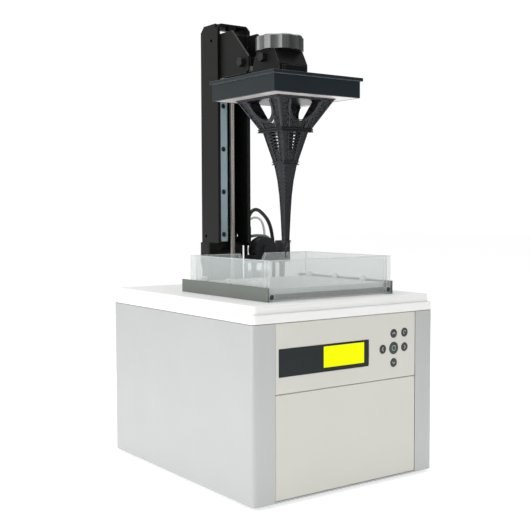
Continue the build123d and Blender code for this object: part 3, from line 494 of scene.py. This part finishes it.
# ------------------------------------------------------------------ generic key marks
PAD_X, PAD_Z, KEY_STEP_X, KEY_STEP_Z = 72.4, 165.5, 18.2, 18.1
ARROW_KEYS = {
    "up": (PAD_X, PAD_Z + KEY_STEP_Z, 90),
    "down": (PAD_X, PAD_Z - KEY_STEP_Z, 270),
    "left": (PAD_X - KEY_STEP_X, PAD_Z, 180),
    "right": (PAD_X + KEY_STEP_X, PAD_Z, 0),
}
CIRCLE_STEPS = 20
# Key, centre, radius, and how many of the circle's steps are drawn.
ROUND_KEYS = (("ok", PAD_X, PAD_Z, 3.0, CIRCLE_STEPS), ("back", 90.6, 183.8, 2.1, 15))
MARK_Y, MARK_THINNING = -168.5, 0.08
ARROW_LINE, ROUND_LINE = 0.95, 0.75


def put_mark(key, mark):
    """Mark pressed thin on the face of a key."""
    flat = [(px, MARK_Y + (py - MARK_Y) * MARK_THINNING, pz) for px, py, pz in mark.points]
    made = mesh_object("mark_" + key, flat, mark.faces, icon_grey, "key_" + key)


for key, (x, z, degrees) in ARROW_KEYS.items():
    mark = Shape()
    turn = math.radians(degrees)
    corners = []
    for along, across in ((1.5, 0.0), (-0.9, 2.3), (-0.9, -2.3)):
        corner_x = x + along * math.cos(turn) - across * math.sin(turn)
        corner_z = z + along * math.sin(turn) + across * math.cos(turn)
        corners.append((corner_x, MARK_Y, corner_z))
    tip, *wings = corners
    for wing in wings:
        mark.bar(tip, wing, ARROW_LINE)
    put_mark(key, mark)
for key, x, z, radius, steps in ROUND_KEYS:
    mark = Shape()
    spots = []
    for n in range(steps + 1):
        turn = 2 * math.pi * n / CIRCLE_STEPS
        spots.append((x + radius * math.cos(turn), MARK_Y, z + radius * math.sin(turn)))
    for start, end in zip(spots, spots[1:]):
        mark.bar(start, end, ROUND_LINE)
    put_mark(key, mark)


def hose(name, node, points, diameter, material):
    """Hose along a smooth open curve that leaves the deck and goes back into the object."""
    points = [[c * MM for c in p] for p in points]
    curve = bpy.data.curves.new(name, "CURVE")
    curve.dimensions = "3D"
    curve.bevel_depth = diameter * MM / 2
    curve.bevel_resolution = 6
    curve.resolution_u = 16
    curve.use_fill_caps = True
    spline = curve.splines.new("NURBS")
    spline.points.add(len(points) - 1)
    for spot, p in zip(spline.points, points):
        spot.co = (*p, 1.0)
    spline.order_u = 3
    spline.use_endpoint_u = True
    curve.materials.append(material)
    made = bpy.data.objects.new(name, curve)
    scene.collection.objects.link(made)
    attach(made, "base")
    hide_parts(node)


BLACK_TUBE = [
    (42.5, 109, 229.7), (43, 109, 260), (42, 108.6, 293), (44.6, 109.2, 319.5), (53.6, 112.1, 334.5),
    (67.5, 116.7, 338), (82.7, 121.7, 330.5), (96.9, 126.4, 318.5), (105, 129.1, 298), (108.8, 130.3, 263.5),
    (107.5, 130, 229.7),
]
CLEAR_TUBE = [
    (42, 126, 229.7), (42.4, 125.4, 253), (42, 124, 282), (44.6, 120.4, 307.4), (54, 114.2, 325.7),
    (68.2, 107.8, 325), (73.8, 105.6, 307), (73, 105.2, 281), (69.4, 105, 252), (68.8, 105, 229.7),
]
GREY_TUBE = [
    (40.5, 117.5, 229.7), (40.4, 117.5, 248), (37.8, 116.4, 268), (34.4, 111.1, 286.4), (38.1, 100.9, 296.6),
    (46.8, 93.1, 300), (55.6, 89.9, 299.6), (67.7, 91, 298.3), (79.3, 91, 286.7), (79.3, 91, 272.2),
]
hose("hose_black", "feed_tube_black", BLACK_TUBE, 5.5, rubber)
hose("hose_clear", "feed_tube_clear", CLEAR_TUBE, 3.5, clear_hose)
hose("hose_grey", "feed_tube_grey", GREY_TUBE, 4.4, grey_hose)

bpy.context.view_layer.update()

# ------------------------------------------------------------------ stage and lights
FLOOR_HALF = 9
floor_mesh = bpy.data.meshes.new("floor")
floor_mesh.from_pydata(
    [(x * FLOOR_HALF, y * FLOOR_HALF, 0) for x, y in ((-1, -1), (1, -1), (1, 1), (-1, 1))], [], [(0, 1, 2, 3)]
)
floor = bpy.data.objects.new("floor", floor_mesh)
floor_white = shade("floor_white", (0.95, 0.95, 0.95), 0.7, tone=0.005, blotch=2, grain=300, relief=0.0,
                    Emission_Color=(1.0, 1.0, 1.0, 1.0), Emission_Strength=0.46)
floor_mesh.materials.append(floor_white)
scene.collection.objects.link(floor)

# The object is lit by a sky that is brighter to the left, and the camera sees an even white one.
BRIGHT_SIDE = (-0.78, 0.50, 0.50)
SKY_SPREAD, SKY_DIM, SKY_BRIGHT, BACKDROP_STRENGTH = 0.9, 0.12, 0.78, 1.02
world = bpy.data.worlds.new("studio")
scene.world = world
world.use_nodes = True
sky = world.node_tree
sky.nodes["Background"].inputs["Color"].default_value = (1.0, 1.0, 1.0, 1.0)
direction = sky.nodes.new("ShaderNodeTexCoord")
towards_left = sky.nodes.new("ShaderNodeVectorMath")
towards_left.operation = "DOT_PRODUCT"
towards_left.inputs[1].default_value = BRIGHT_SIDE
sky.links.new(direction.outputs["Generated"], towards_left.inputs[0])
falloff = sky.nodes.new("ShaderNodeMapRange")
falloff.inputs["From Min"].default_value = -SKY_SPREAD
falloff.inputs["From Max"].default_value = SKY_SPREAD
falloff.inputs["To Min"].default_value = SKY_DIM
falloff.inputs["To Max"].default_value = SKY_BRIGHT
sky.links.new(towards_left.outputs["Value"], falloff.inputs["Value"])
seen = sky.nodes.new("ShaderNodeLightPath")
backdrop = sky.nodes.new("ShaderNodeMix")
backdrop.inputs[3].default_value = BACKDROP_STRENGTH
sky.links.new(seen.outputs["Is Camera Ray"], backdrop.inputs[0])
sky.links.new(falloff.outputs["Result"], backdrop.inputs[2])
sky.links.new(backdrop.outputs[0], sky.nodes["Background"].inputs["Strength"])


def soft_light(name, place, target, size, power, colour=(1.0, 1.0, 1.0)):
    """Square softbox that faces a point."""
    lamp = bpy.data.lights.new(name, "AREA")
    lamp.size = size
    lamp.energy = power
    lamp.color = colour
    made = bpy.data.objects.new(name, lamp)
    made.location = place
    made.rotation_euler = (Vector(target) - Vector(place)).to_track_quat("-Z", "Y").to_euler()
    scene.collection.objects.link(made)


soft_light("key_left", (-1.9, 0.1, 0.9), (0, 0, 0.25), 1.4, 12)
soft_light("top_soft", (0.2, 0.1, 2.2), (0, 0, 0.3), 1.8, 25)
soft_light("front_fill", (0.3, -1.3, 0.12), (0, -0.17, -0.05), 0.5, 0.9)

# ------------------------------------------------------------------ camera
EYE = (-0.721151, -0.999004, 0.334644)
FOCAL_LENGTH, SENSOR_WIDTH, NEAR_LIMIT = 63.04, 36.0, 0.05
yaw, pitch, roll = 0.624, 0.058, -0.003
forward = Vector((math.sin(yaw) * math.cos(pitch), math.cos(yaw) * math.cos(pitch), -math.sin(pitch)))
right = Vector((math.cos(yaw), -math.sin(yaw), 0.0))
above = right.cross(forward)
side = right * math.cos(roll) + above * math.sin(roll)
top = -right * math.sin(roll) + above * math.cos(roll)
lens = bpy.data.cameras.new("camera")
lens.lens = FOCAL_LENGTH
lens.sensor_width = SENSOR_WIDTH
lens.clip_start = NEAR_LIMIT
camera = bpy.data.objects.new("camera", lens)
facing = Matrix((
    (side.x, top.x, -forward.x),
    (side.y, top.y, -forward.y),
    (side.z, top.z, -forward.z),
))
camera.matrix_world = Matrix.Translation(EYE) @ facing.to_4x4()
scene.collection.objects.link(camera)
scene.camera = camera
scene.view_settings.view_transform = "Standard"
